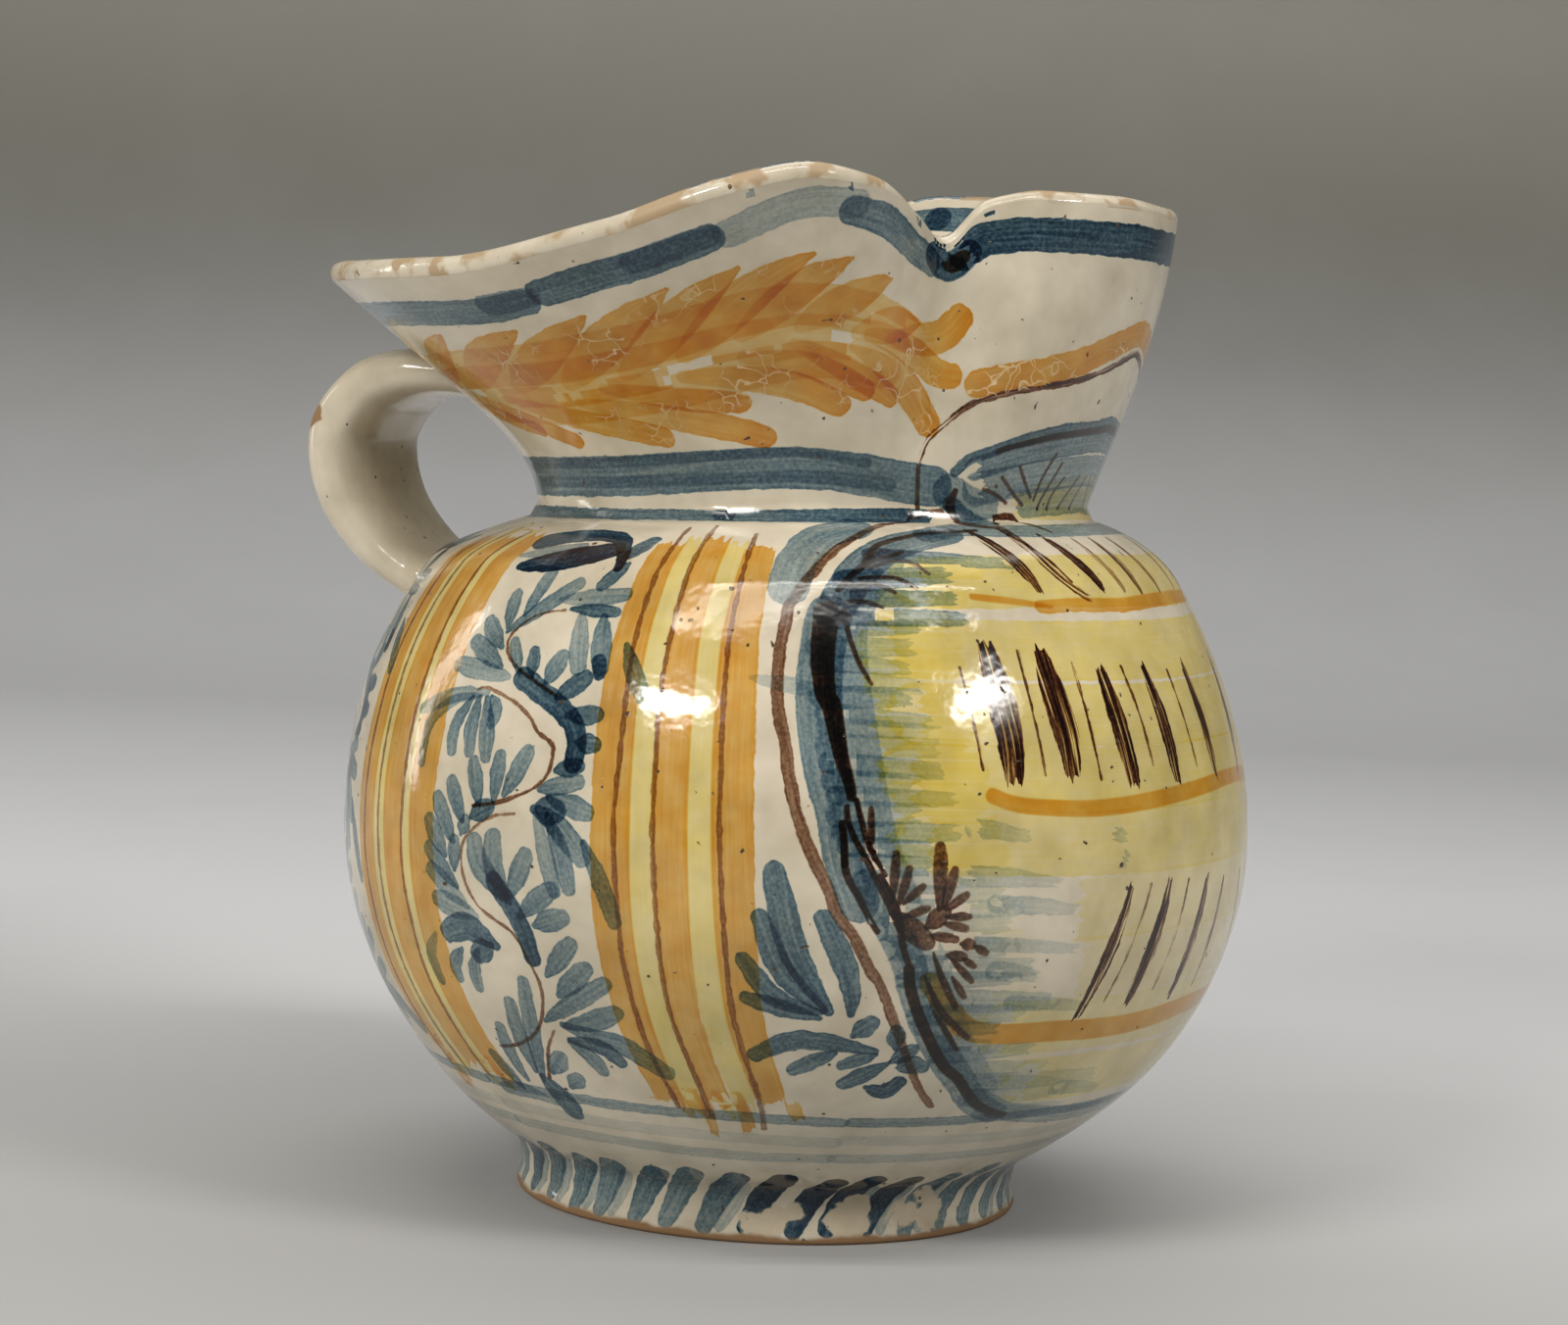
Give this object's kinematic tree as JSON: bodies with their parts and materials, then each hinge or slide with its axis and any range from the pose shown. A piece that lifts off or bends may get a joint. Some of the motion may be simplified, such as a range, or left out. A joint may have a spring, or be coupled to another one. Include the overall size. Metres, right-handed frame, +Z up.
{
  "type": "painted ceramic pouring jug",
  "caption": "Round-bellied glazed jug with a pinched pouring lip, a wide flared mouth and a strap handle; hollow, stands on a flat foot.",
  "frame": {"origin": "centre of the foot's flat underside, on the surface the jug stands on", "axes": "+Z up, +X the pouring direction, handle on -X, +Y the jug's left side when it pours away from the holder"},
  "size_m": [0.1891, 0.1728, 0.1961],
  "materials": {
    "glazed_ceramic": "glossy tin glaze with painted decoration"
  },
  "bodies": {
    "root": {"jug": "glazed_ceramic"}
  },
  "joints": []
}
